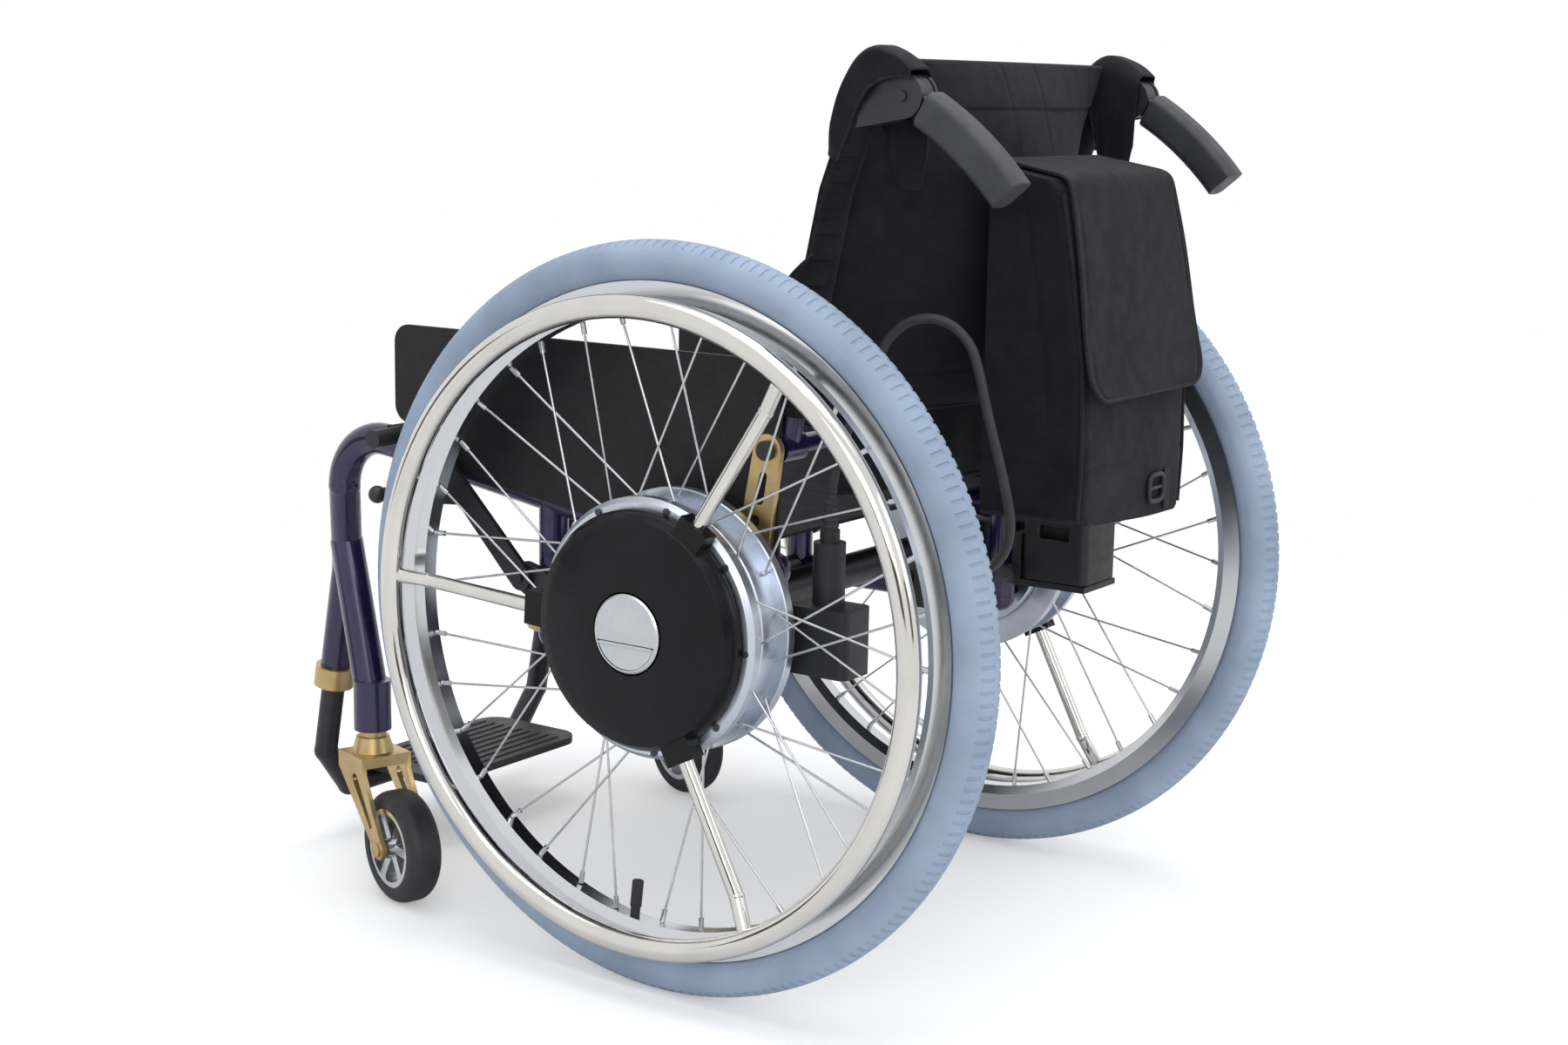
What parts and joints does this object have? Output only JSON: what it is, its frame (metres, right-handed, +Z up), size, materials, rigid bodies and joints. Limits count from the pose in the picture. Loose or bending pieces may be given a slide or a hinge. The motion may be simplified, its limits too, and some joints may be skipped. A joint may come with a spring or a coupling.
{
  "type": "power assist wheelchair",
  "caption": "Rigid wheelchair with hub-motor power assist drive wheels, sensing push rims, battery and lead, fold-down back with hung bag, swivelling castors and sliding footrest.",
  "frame": {"origin": "on the floor, under the middle of the box around the wheelchair", "axes": "+X forward, the way the sitter faces; +Y to the sitter's left; +Z up"},
  "size_m": [0.809, 0.617, 0.7628],
  "materials": {
    "grey_tyre": "matte moulded rubber",
    "polished_rim": "polished",
    "spoke_steel": "drawn wire",
    "hub_alloy": "silver painted casting",
    "magnet_grey": "plated",
    "bearing_steel": "ground",
    "black_rubber": "matte",
    "dark_screws": "blackened",
    "pushrim_steel": "polished stainless tube",
    "cover_black": "fine satin",
    "knob_silver": "satin silver",
    "copper_winding": "enamelled",
    "axle_steel": "turned",
    "frame_purple": "deep violet lacquer over tube",
    "gold_anodised": "satin gold anodised",
    "castor_alloy": "polished",
    "lock_black": "black powder coat",
    "grip_rubber": "soft matte",
    "black_nylon": "woven nylon",
    "guard_black": "satin",
    "housing_black": "moulded",
    "foot_black": "black powder coat",
    "footplate_black": "ribbed moulding"
  },
  "bodies": {
    "frame": {"left_side_frame": "frame_purple", "right_side_frame": "frame_purple", "cross_tubes": "foot_black", "axle_clamps": "lock_black", "back_brackets": "gold_anodised", "seat_sling": "black_nylon", "side_guards": "guard_black", "fasteners": "dark_screws", "connector_housings": "housing_black", "motor_lead": "black_rubber", "lock_brackets": "lock_black", "footrest_clamps": "gold_anodised", "left_motor_plate": "hub_alloy", "right_motor_plate": "hub_alloy", "left_stator": "copper_winding", "right_stator": "copper_winding", "left_axle": "axle_steel", "right_axle": "axle_steel"},
    "left_wheel": {"left_tyre": "grey_tyre", "left_rim": "polished_rim", "left_spokes": "spoke_steel", "left_hub_shell": "hub_alloy", "left_magnets": "magnet_grey", "left_bearings": "bearing_steel", "left_valve": "black_rubber", "left_hub_screws": "dark_screws"},
    "left_pushrim": {"left_handrim": "pushrim_steel", "left_hub_cover": "cover_black"},
    "left_knob": {"left_release_knob": "knob_silver"},
    "left_grip": {"left_release_grip": "knob_silver"},
    "left_castor": {"left_castor_fork": "gold_anodised"},
    "left_castor_wheel": {"left_castor_tyre": "black_rubber", "left_castor_hub": "castor_alloy"},
    "left_lock": {"left_lock_lever": "lock_black"},
    "left_handle": {"left_push_handle": "grip_rubber"},
    "right_wheel": {"right_tyre": "grey_tyre", "right_rim": "polished_rim", "right_spokes": "spoke_steel", "right_hub_shell": "hub_alloy", "right_magnets": "magnet_grey", "right_bearings": "bearing_steel", "right_valve": "black_rubber", "right_hub_screws": "dark_screws"},
    "right_pushrim": {"right_handrim": "pushrim_steel", "right_hub_cover": "cover_black"},
    "right_knob": {"right_release_knob": "knob_silver"},
    "right_grip": {"right_release_grip": "knob_silver"},
    "right_castor": {"right_castor_fork": "gold_anodised"},
    "right_castor_wheel": {"right_castor_tyre": "black_rubber", "right_castor_hub": "castor_alloy"},
    "right_lock": {"right_lock_lever": "lock_black"},
    "right_handle": {"right_push_handle": "grip_rubber"},
    "footrest": {"footrest_tube": "foot_black", "footplate": "footplate_black"},
    "backrest": {"back_canes": "frame_purple", "handle_brackets": "lock_black", "back_upholstery": "black_nylon", "bag": "black_nylon"},
    "flap": {"bag_flap": "black_nylon"},
    "battery": {"battery": "housing_black"}
  },
  "joints": [
    {"name": "left_wheel_spin", "type": "hinge", "parent": "frame", "child": "left_wheel", "pos_m": [-0.09746, 0.257, 0.307], "axis": [0, 1, 0], "continuous": true},
    {"name": "right_wheel_spin", "type": "hinge", "parent": "frame", "child": "right_wheel", "pos_m": [-0.09746, -0.257, 0.307], "axis": [0, 1, 0], "continuous": true},
    {"name": "left_pushrim_turn", "type": "hinge", "parent": "left_wheel", "child": "left_pushrim", "pos_m": [-0.09746, 0.257, 0.307], "axis": [0, 1, 0], "range_deg": [-4, 4], "stiffness_Nm_per_rad": 300},
    {"name": "right_pushrim_turn", "type": "hinge", "parent": "right_wheel", "child": "right_pushrim", "pos_m": [-0.09746, -0.257, 0.307], "axis": [0, 1, 0], "range_deg": [-4, 4], "stiffness_Nm_per_rad": 300},
    {"name": "left_knob_turn", "type": "hinge", "parent": "frame", "child": "left_knob", "pos_m": [-0.09746, 0.257, 0.307], "axis": [0, 1, 0], "range_deg": [0, 60]},
    {"name": "left_grip_fold", "type": "hinge", "parent": "left_knob", "child": "left_grip", "pos_m": [-0.09746, 0.3043, 0.2974], "axis": [1, 0, 0], "range_deg": [0, 85]},
    {"name": "right_knob_turn", "type": "hinge", "parent": "frame", "child": "right_knob", "pos_m": [-0.09746, -0.257, 0.307], "axis": [0, -1, 0], "range_deg": [0, 60]},
    {"name": "right_grip_fold", "type": "hinge", "parent": "right_knob", "child": "right_grip", "pos_m": [-0.09746, -0.3043, 0.2974], "axis": [-1, 0, 0], "range_deg": [0, 85]},
    {"name": "left_castor_swivel", "type": "hinge", "parent": "frame", "child": "left_castor", "pos_m": [0.26754, 0.214, 0.142], "axis": [0, 0, 1], "continuous": true},
    {"name": "left_castor_roll", "type": "hinge", "parent": "left_castor", "child": "left_castor_wheel", "pos_m": [0.21618, 0.23069, 0.051], "axis": [0.309, 0.9511, 0], "continuous": true},
    {"name": "right_castor_swivel", "type": "hinge", "parent": "frame", "child": "right_castor", "pos_m": [0.26754, -0.214, 0.142], "axis": [0, 0, 1], "continuous": true},
    {"name": "right_castor_roll", "type": "hinge", "parent": "right_castor", "child": "right_castor_wheel", "pos_m": [0.21618, -0.19731, 0.051], "axis": [0.309, 0.9511, 0], "continuous": true},
    {"name": "left_wheel_lock", "type": "hinge", "parent": "frame", "child": "left_lock", "pos_m": [0.08854, 0.212, 0.313], "axis": [0, 1, 0], "range_deg": [-6.5, 0]},
    {"name": "right_wheel_lock", "type": "hinge", "parent": "frame", "child": "right_lock", "pos_m": [0.08854, -0.212, 0.313], "axis": [0, 1, 0], "range_deg": [-6.5, 0]},
    {"name": "footrest_slide", "type": "slide", "parent": "frame", "child": "footrest", "axis": [0.1736, 0, -0.9848], "range_m": [-0.005, 0.02]},
    {"name": "backrest_fold", "type": "hinge", "parent": "frame", "child": "backrest", "pos_m": [-0.16746, 0, 0.45], "axis": [0, 1, 0], "range_deg": [0, 85]},
    {"name": "left_handle_fold", "type": "hinge", "parent": "backrest", "child": "left_handle", "pos_m": [-0.27506, 0.19, 0.727], "axis": [0, 1, 0], "range_deg": [-45, 0]},
    {"name": "right_handle_fold", "type": "hinge", "parent": "backrest", "child": "right_handle", "pos_m": [-0.27506, -0.19, 0.727], "axis": [0, 1, 0], "range_deg": [-45, 0]},
    {"name": "flap_lift", "type": "hinge", "parent": "backrest", "child": "flap", "pos_m": [-0.29249, 0, 0.6797], "axis": [0, 1, 0], "range_deg": [0, 100]},
    {"name": "battery_slide", "type": "slide", "parent": "frame", "child": "battery", "axis": [0, 0, 1], "range_m": [0, 0.1]}
  ]
}
